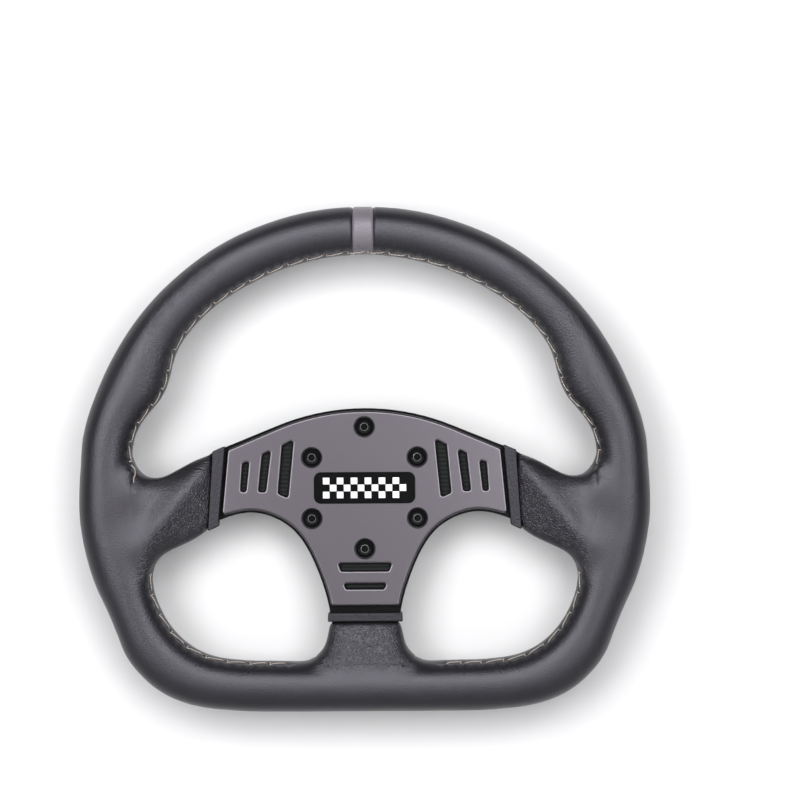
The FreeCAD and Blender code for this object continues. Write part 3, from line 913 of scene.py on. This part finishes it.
def screw_profile():
    """Radius and depth pairs from the key socket's floor, over the head, down to the tip."""
    head = [(0, SOCKET_FLOOR), (KEY_ACROSS / 2, SOCKET_FLOOR), (KEY_ACROSS / 2, HEAD_TOP + 0.8),
            (1.95, HEAD_TOP + 0.15), (2.15, HEAD_TOP), (2.35, HEAD_TOP + 0.12),
            (3.2, HEAD_TOP + 0.4), (4.0, HEAD_TOP + 1.0), (4.5, HEAD_TOP + 1.75),
            (4.75, SEAT_Y - 0.5), (5.3, SEAT_Y - 0.5), (5.5, SEAT_Y - 0.3), (5.5, SEAT_Y),
            (2.5, SEAT_Y), (2.5, 0)]
    turns = int((TIP_Y - 1.2) / THREAD_PITCH)
    thread = [(radius, (turn + rise) * THREAD_PITCH) for turn in range(turns)
              for radius, rise in ((2.05, 0.2), (2.45, 0.5), (2.45, 0.6))]
    return head + thread + [(2.05, TIP_Y - 0.7), (1.6, TIP_Y), (0, TIP_Y)]


def screw(number):
    """Spun about its axis; then the socket's walls are drawn out to six flats."""
    mesh = bmesh.new()
    line = [mesh.verts.new((radius, y, 0)) for radius, y in screw_profile()]
    edges = [mesh.edges.new(pair) for pair in zip(line, line[1:])]
    bmesh.ops.spin(mesh, geom=line + edges, cent=(0, 0, 0), axis=(0, 1, 0),
                   angle=2 * math.pi, steps=HEAD_SIDES, use_merge=True)
    bmesh.ops.remove_doubles(mesh, verts=mesh.verts, dist=1e-4)
    for v in mesh.verts:
        radius = math.hypot(v.co.x, v.co.z)
        if v.co.y < SEAT_Y and 0.1 < radius < KEY_ACROSS / 2 + 0.01:
            angle = math.atan2(v.co.z, v.co.x)
            off_flat = (angle + math.pi / 6) % (math.pi / 3) - math.pi / 6
            v.co.x /= math.cos(off_flat)
            v.co.z /= math.cos(off_flat)
    for face in mesh.faces:
        out = [math.hypot(v.co.x, v.co.z) for v in face.verts]
        rubbed = min(out) > RUBBED_FROM and max(out) < RUBBED_TO
        face.material_index = int(rubbed and face.verts[0].co.y < SEAT_Y)
    bmesh.ops.recalc_face_normals(mesh, faces=mesh.faces)
    for edge in mesh.edges:
        edge.smooth = edge.calc_face_angle(0) < 0.6
    turn = 2 * math.pi * (number - 1) / 6
    place = Vector((BOLT_RADIUS * math.sin(turn), 0, BOLT_RADIUS * math.cos(turn)))
    as_tightened = Matrix.Rotation(0.7 * number, 4, "Y")
    bmesh.ops.transform(mesh, matrix=Matrix.Translation(place) @ as_tightened, verts=mesh.verts)
    return to_metres("button_head_screw_%d" % number, mesh)


def black_oxide():
    """Black oxide: a thin conversion coat, dark, oiled and faintly mottled."""
    made = material("black_oxide_steel")
    noise, bump = grain_bump(made, 900.0, 0.000008)
    shade = add_node(made, "ShaderNodeMixRGB", {0: noise.outputs[0], 1: colour("#0a0a0b"),
                                                2: colour("#111112")})
    finish_shader(made, {"Base Color": shade.outputs[0], "Roughness": 0.14,
                         "Specular IOR Level": 0.22, "Normal": bump.outputs[0]})
    return made


def rubbed_steel():
    """Steel worn bright by the key and faintly scratched."""
    made = material("rubbed_bright_steel")
    noise, bump = grain_bump(made, 2500.0, 0.000006)
    shade = add_node(made, "ShaderNodeMixRGB", {0: noise.outputs[0], 1: colour("#7c7c7f"),
                                                2: colour("#b0b0b4")})
    finish_shader(made, {"Base Color": shade.outputs[0], "Roughness": 0.3, "Metallic": 1.0,
                         "Normal": bump.outputs[0]})
    return made


screw_finishes = [black_oxide(), rubbed_steel()]
for number in range(1, 7):
    piece = screw(number)
    for made in screw_finishes:
        piece.data.materials.append(made)
    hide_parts("cap_screw_%d" % number)

# ---- Collars ------------------------------------------------------------------------------
# Bands of grained leathercloth on a stiff core, wrapped round each spoke to cover the cut
# ends of the leather; glued, with their front edges broken.


def trim_band():
    """Leathercloth: PVC with a printed hide grain, 1 mm pebbles."""
    made = material("grained_leathercloth")
    place = add_node(made, "ShaderNodeTexCoord").outputs["Object"]
    cells = add_node(made, "ShaderNodeTexVoronoi", {"Vector": place, "Scale": 900.0},
                     feature="SMOOTH_F1")
    fold = add_node(made, "ShaderNodeTexNoise", {"Vector": place, "Scale": 500.0, "Detail": 4.0})
    pebble = add_node(made, "ShaderNodeBump", {"Height": cells.outputs[0], "Distance": 0.0002,
                                               "Strength": 0.7}, invert=True)
    bump = add_node(made, "ShaderNodeBump", {"Height": fold.outputs[0], "Distance": 0.0003,
                                             "Strength": 0.7, "Normal": pebble.outputs[0]})
    shade = add_node(made, "ShaderNodeMixRGB", {0: fold.outputs[0], 1: colour("#0d0d10"),
                                                2: colour("#161519")})
    finish_shader(made, {"Base Color": shade.outputs[0], "Roughness": 0.42,
                         "Specular IOR Level": 0.32, "Specular Tint": colour("#f6f2ff"),
                         "Normal": bump.outputs[0]})
    return made


coat(trim_band(), "collar_left", "collar_right", "collar_bottom")
